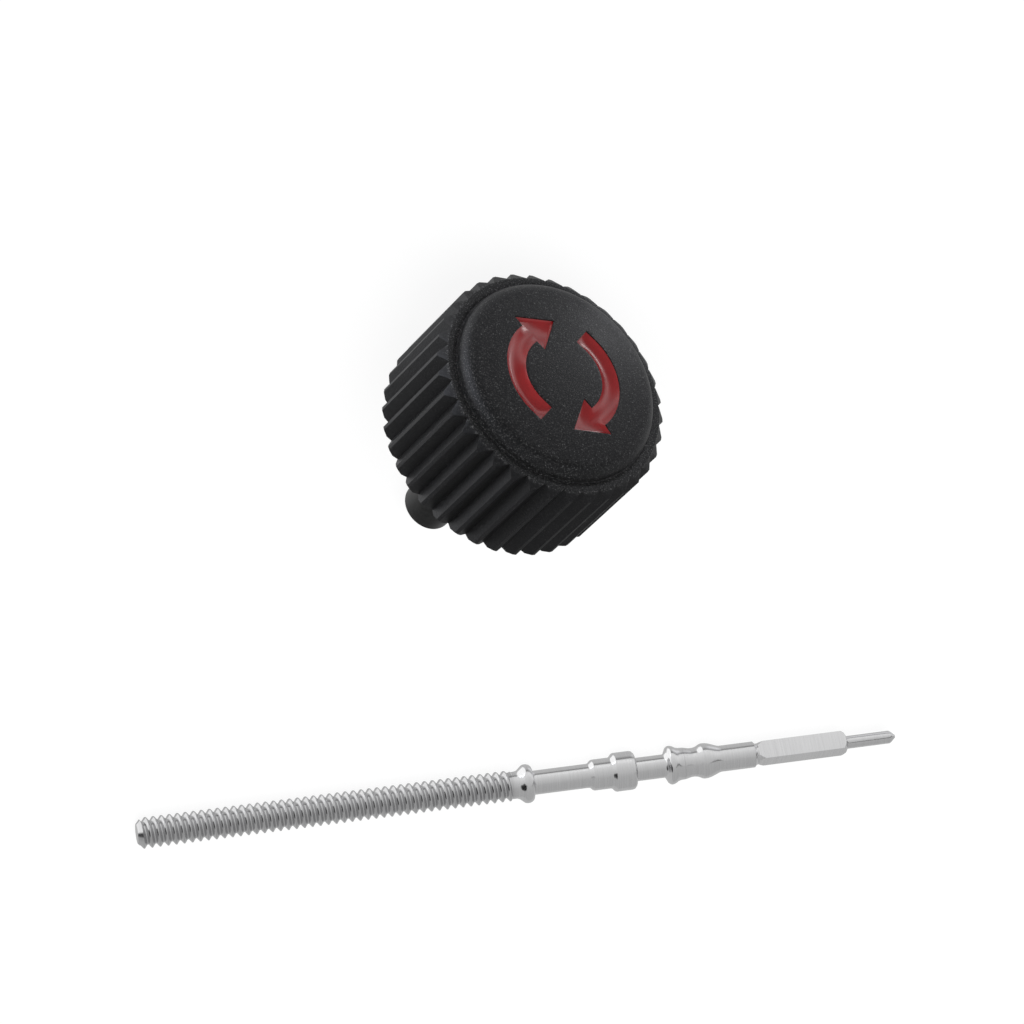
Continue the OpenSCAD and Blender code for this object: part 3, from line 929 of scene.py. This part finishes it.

# %% [markdown]
# ## The spring
#
# The coil behind the pipe could be drawn as a helix with a Screw modifier. The CAD model's own coil already
# has the right turns and ends, so a copy of it is merged and smoothed with one subdivision.

# %% Coil spring
COIL_SEAM = 0.001 * MM

coil_node = frame["nodes"]["clutch_spring"]
spring = bpy.data.objects.new("pressure_spring", coil_node.data.copy())
bpy.context.collection.objects.link(spring)
spring.matrix_world = coil_node.matrix_world.copy()
only(spring)
bpy.ops.object.transform_apply(location=True, rotation=True, scale=True)
bpy.ops.object.mode_set(mode="EDIT")
bpy.ops.mesh.select_all(action="SELECT")
bpy.ops.mesh.remove_doubles(threshold=COIL_SEAM)
bpy.ops.mesh.tris_convert_to_quads(face_threshold=1.0, shape_threshold=3.1)
bpy.ops.mesh.normals_make_consistent(inside=False)
bpy.ops.object.mode_set(mode="OBJECT")
bpy.ops.object.modifier_add(type="SUBSURF")
spring.modifiers[-1].levels = spring.modifiers[-1].render_levels = 1
bpy.ops.object.modifier_apply(modifier=spring.modifiers[-1].name)
bpy.ops.object.shade_smooth()
spring.data.materials.clear()
spring.data.materials.append(wire_steel)
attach(spring, "head")
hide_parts("clutch_spring")
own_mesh(spring)
print(spring.name, len(spring.data.polygons), "faces,", open_edges(spring), "open edges")

# %% [markdown]
# ## The washer and the gasket
#
# Both are plain rings, and the CAD model's shapes are right as they are. They only get a better finish.

# %% Finishes of the washer and the gasket
for name, finish in (("retaining_washer", inner_steel), ("tube_gasket", rubber)):
    for place in frame["nodes"][name].material_slots:
        place.material = finish
    print(name, "is finished in", finish.name)

# %% [markdown]
# ## White paper and white room
#
# The set lies on white paper in a white room, but so much white would light it too evenly. So the paper and
# the room are white for the rays that look at them, and plainer for the light that falls on the set. The
# paper that the camera sees glows a little, which leaves only a faint shadow on it.


# %% Rays that see the white
def white_rays(tree):
    """1 for camera, glossy and transmission rays, which see the background itself, and 0 for the rest."""
    rays = add(tree, "ShaderNodeLightPath")
    shown = rays.outputs["Is Camera Ray"]
    for name in ("Is Glossy Ray", "Is Transmission Ray"):
        either = add(tree, "ShaderNodeMath", operation="MAXIMUM")
        link(tree, shown, either.inputs[0])
        link(tree, rays.outputs[name], either.inputs[1])
        shown = either.outputs[0]
    return shown


def choose(tree, share, first, second):
    """The first shader where the share is 0, the second where it is 1."""
    mix = add(tree, "ShaderNodeMixShader")
    for socket, source in enumerate((share, first, second)):
        link(tree, source, mix.inputs[socket])
    return mix.outputs[0]


def paper_shader(tree, share, glow):
    """Diffuse paper with a glow of its own."""
    diffuse = add(tree, "ShaderNodeBsdfDiffuse", Color=(share, share, share, 1))
    emission = add(tree, "ShaderNodeEmission", Color=(1, 1, 1, 1), Strength=glow)
    both = add(tree, "ShaderNodeAddShader")
    link(tree, diffuse.outputs[0], both.inputs[0])
    link(tree, emission.outputs[0], both.inputs[1])
    return both.outputs[0]


# %% Floor
FLOOR_SIZE = 4
LIT_PAPER = (0.8, 0.8, 0.8, 1)
SEEN_PAPER = 0.20
PAPER_GLOW = 0.86

bpy.ops.mesh.primitive_plane_add(size=FLOOR_SIZE, location=(0, 0, 0))
floor = bpy.context.object
floor.name = "floor"
paper, tree, shader = new_material("white_paper")
tree.nodes.remove(shader)
lit = add(tree, "ShaderNodeBsdfDiffuse", Color=LIT_PAPER).outputs[0]
surface = choose(tree, white_rays(tree), lit, paper_shader(tree, SEEN_PAPER, PAPER_GLOW))
link(tree, surface, tree.nodes["Material Output"].inputs["Surface"])
floor.data.materials.append(paper)
floor.visible_glossy = False
print("The floor is", FLOOR_SIZE, "m wide")

# %% World
ROOM_LIGHT = (0.45, 0.45, 0.45, 1)

world = bpy.data.worlds.new("studio")
bpy.context.scene.world = world
world.use_nodes = True
tree = world.node_tree
room = tree.nodes["Background"]
room.inputs["Color"].default_value = ROOM_LIGHT
white = add(tree, "ShaderNodeBackground", Color=(1, 1, 1, 1), Strength=1.0)
surface = choose(tree, white_rays(tree), room.outputs[0], white.outputs[0])
link(tree, surface, tree.nodes["World Output"].inputs["Surface"])
print("The room lights the set at", ROOM_LIGHT[0])

# %% [markdown]
# ## The light tent
#
# Bright turned steel shows nothing but its surroundings, so these are built with care, as a photographer of
# small parts would. A light tent, which only mirrored rays see, is dark above the crown's face and grey
# behind the stem, with a bright card at the stem's threaded end. Each card is a soft-edged spot on one big
# sphere, so that the steel never shows a hard corner where the photograph has none.

# %% Levels of the tent
TENT_R = 0.45
# Over Y, from the front at 0 to the back at 1
ROOF = [(0.0, 0.12), (0.44, 0.12), (0.48, 0.54), (0.55, 0.52), (0.75, 0.495), (1.0, 0.49)]
PAPER = [(0.0, 0.62), (0.5, 0.60), (1.0, 0.56)]
FRONT = [(0.25, 1.0), (0.5, 0.0)]
# Over the height, from straight down at 0 to straight up at 1
ABOVE = [(0.485, 0.0), (0.505, 1.0)]
STRIP = [(0.385, 0.0), (0.40, 1.0), (0.47, 1.0), (0.485, 0.0)]
GAP = [(0.20, 0.0), (0.33, 0.68), (0.375, 0.68), (0.395, 0.0)]
STRIP_LIGHT = (0.92, 0.92, 0.92)
GAP_LIGHT = (0.12, 0.12, 0.12)
# Each card: where it hangs, its soft edge as the cosine of the angle from there, and its light
BRIGHT_PAPER = ((-0.80, -0.55, -0.28), [(0.80, 0.0), (0.93, 1.0)], (0.95, 0.95, 0.97))
END_CARD = ((0.80, -0.50, -0.40), [(0.71, 0.0), (0.76, 1.0)], (1.3, 1.3, 1.3))
KEY_CARD = ((0.68, -0.70, 0.16), [(0.91, 0.0), (0.95, 1.0)], (2.7, 2.8, 3.0))
BLACK_CARD = ((0.90, 0.05, 0.36), [(0.930, 0.0), (0.945, 1.0)], (0.02, 0.02, 0.02))


# %% Painting with light
def share_along(tree, direction, where):
    """How far the mirrored ray runs along a direction, from -1 to 1."""
    node = add(tree, "ShaderNodeVectorMath", operation="DOT_PRODUCT")
    node.inputs[1].default_value = Vector(direction).normalized()
    link(tree, where, node.inputs[0])
    return node.outputs["Value"]


def halved(tree, source):
    """A value from -1 to 1, brought to 0 to 1 for a colour ramp."""
    node = add(tree, "ShaderNodeMapRange", From_Min=-1, From_Max=1)
    link(tree, source, node.inputs["Value"])
    return node.outputs["Result"]


def product(tree, first, second):
    """One value times another."""
    node = add(tree, "ShaderNodeMath", operation="MULTIPLY")
    link(tree, first, node.inputs[0])
    link(tree, second, node.inputs[1])
    return node.outputs[0]


def painted(tree, share, level, light):
    """The level, with a light laid over it where the share is 1."""
    node = add(tree, "ShaderNodeMix", data_type="RGBA")
    link(tree, share, node.inputs[0])
    link(tree, level, node.inputs[6])
    node.inputs[7].default_value = (*light, 1)
    return node.outputs[2]


def with_card(tree, card, level, where):
    """The level, with one card of the tent laid over it."""
    direction, edge, light = card
    return painted(tree, ramp(tree, share_along(tree, direction, where), edge), level, light)


def tent_light(tree):
    """The tent's colour in every direction: paper, roof, strip, gap and cards."""
    where = object_coordinates(tree, (1 / TENT_R, 1 / TENT_R, 1 / TENT_R))
    depth = halved(tree, share_along(tree, (0, 1, 0), where))
    height = halved(tree, share_along(tree, (0, 0, 1), where))
    front = ramp(tree, depth, FRONT)
    level = with_card(tree, BRIGHT_PAPER, ramp(tree, depth, PAPER), where)
    level = mixed(tree, ramp(tree, height, ABOVE), level, ramp(tree, depth, ROOF))
    level = painted(tree, product(tree, ramp(tree, height, STRIP), front), level, STRIP_LIGHT)
    level = painted(tree, product(tree, ramp(tree, height, GAP), front), level, GAP_LIGHT)
    for card in (END_CARD, KEY_CARD, BLACK_CARD):
        level = with_card(tree, card, level, where)
    return level


# %% Light tent
def mirrored_only(piece):
    """Hides a piece of the stage from every ray but the mirrored ones."""
    for ray in ("camera", "diffuse", "shadow", "transmission", "volume_scatter"):
        setattr(piece, "visible_" + ray, False)


def glowing(piece, name, build=None, strength=1.0):
    """Gives a piece of the stage a material that only glows, in white or the build function's colour."""
    material, tree, shader = new_material(name)
    tree.nodes.remove(shader)
    glow = add(tree, "ShaderNodeEmission", Color=(1, 1, 1, 1), Strength=strength)
    if build:
        link(tree, build(tree), glow.inputs["Color"])
    link(tree, glow.outputs[0], tree.nodes["Material Output"].inputs["Surface"])
    piece.data.materials.append(material)
    print(piece.name, "glows with", len(tree.nodes), "nodes")


bpy.ops.mesh.primitive_uv_sphere_add(segments=64, ring_count=32, radius=TENT_R, location=(0, 0, 0))
tent = bpy.context.object
tent.name = "light_tent"
bpy.ops.object.shade_smooth()
mirrored_only(tent)
glowing(tent, "tent_silk", tent_light)

# %% [markdown]
# ## Cards near the set
#
# A tall card stands between the two pieces, so that the stem mirrors white card where it would show the
# black crown. Its back is darker and faces the crown. A small round card hangs low in front of the dome and
# gives the enamel its gleam. It hangs so close that the standing card hides it from the stem.

# %% Card in front of the dome
SIGN_CARD_SIDE = Vector((-0.80, -0.39, -0.46))
SIGN_CARD_AWAY = 7.5 * MM
SIGN_CARD_R = 1.3 * MM
SIGN_CARD_LIGHT = 3.6

place = CROWN @ Vector((0, 0, dome_top * MM)) + SIGN_CARD_SIDE * SIGN_CARD_AWAY
bpy.ops.mesh.primitive_circle_add(vertices=48, radius=SIGN_CARD_R, fill_type="NGON", location=place)
sign_card = bpy.context.object
sign_card.name = "sign_card"
sign_card.rotation_euler = SIGN_CARD_SIDE.to_track_quat("Z", "Y").to_euler()
bpy.ops.object.transform_apply(location=True, rotation=True, scale=True)
mirrored_only(sign_card)
glowing(sign_card, "sign_card_paper", strength=SIGN_CARD_LIGHT)
print("It hangs at", [round(value / MM, 1) for value in place], "mm")

# %% Card between the crown and the stem
CARD_Y = 3 * MM
CARD_THICK = 0.2 * MM
CARD_HALF = 25 * MM
CARD_TALL = 100 * MM
# Over the card's height, on the side of the stem
STEM_SIDE = [(0.0, 0.93), (0.018, 0.90), (0.033, 0.80), (0.058, 0.71)]
STEM_SIDE += [(0.095, 0.645), (0.24, 0.575), (1.0, 0.54)]
CROWN_SIDE = [(0.0, 0.25), (1.0, 0.25)]


def standing_card(name, y, levels):
    """An upright card across the bench, whose light runs over its height."""
    bpy.ops.mesh.primitive_plane_add(size=1, location=(0, y, CARD_TALL / 2), rotation=(math.pi / 2, 0, 0))
    card = bpy.context.object
    card.name = name
    card.scale = (2 * CARD_HALF, CARD_TALL, 1)
    bpy.ops.object.transform_apply(location=True, rotation=True, scale=True)
    mirrored_only(card)

    def light(tree):
        height = scaled(tree, along(tree, object_coordinates(tree), "Z"), 1 / CARD_TALL)
        return ramp(tree, height, levels)

    glowing(card, name + "_paper", light)


standing_card("card_to_stem", CARD_Y, STEM_SIDE)
standing_card("card_to_crown", CARD_Y - CARD_THICK, CROWN_SIDE)

# %% [markdown]
# ## Lamps
#
# Two square lamps light the set: a wide one above it and a smaller, slightly blue one from the side of the
# stem's threaded end. A surface that faces a lamp gets a plain share of the light at which its colour
# renders as it is written. Metal shows the tent and not the lamps, so these are hidden from mirrored rays.


# %% Two lamps
AIM = Vector((0, 0, 2 * MM))


def softbox(name, side, distance, size, share, colour=(1, 1, 1)):
    """A square lamp that lights a surface facing it with a share of the level for true colours."""
    direction = Vector(side).normalized()
    place = AIM + direction * distance
    bpy.ops.object.light_add(type="AREA", location=place)
    lamp = bpy.context.object
    lamp.name = name
    lamp.rotation_euler = direction.to_track_quat("Z", "Y").to_euler()
    lamp.data.shape = "SQUARE"
    lamp.data.size = size
    lamp.data.energy = share * math.pi ** 2 * distance ** 2
    lamp.data.color = colour
    lamp.visible_glossy = False
    print(name, "gives a share of", share)


softbox("roof_lamp", side=(0, 0, 1), distance=0.35, size=0.30, share=0.45)
cool = (0.93, 0.96, 1.0)
softbox("key_lamp", side=(0.85, -0.50, 0.30), distance=0.30, size=0.12, share=0.30, colour=cool)
# Standard shows colours as they are written, with no film curve
bpy.context.scene.view_settings.view_transform = "Standard"
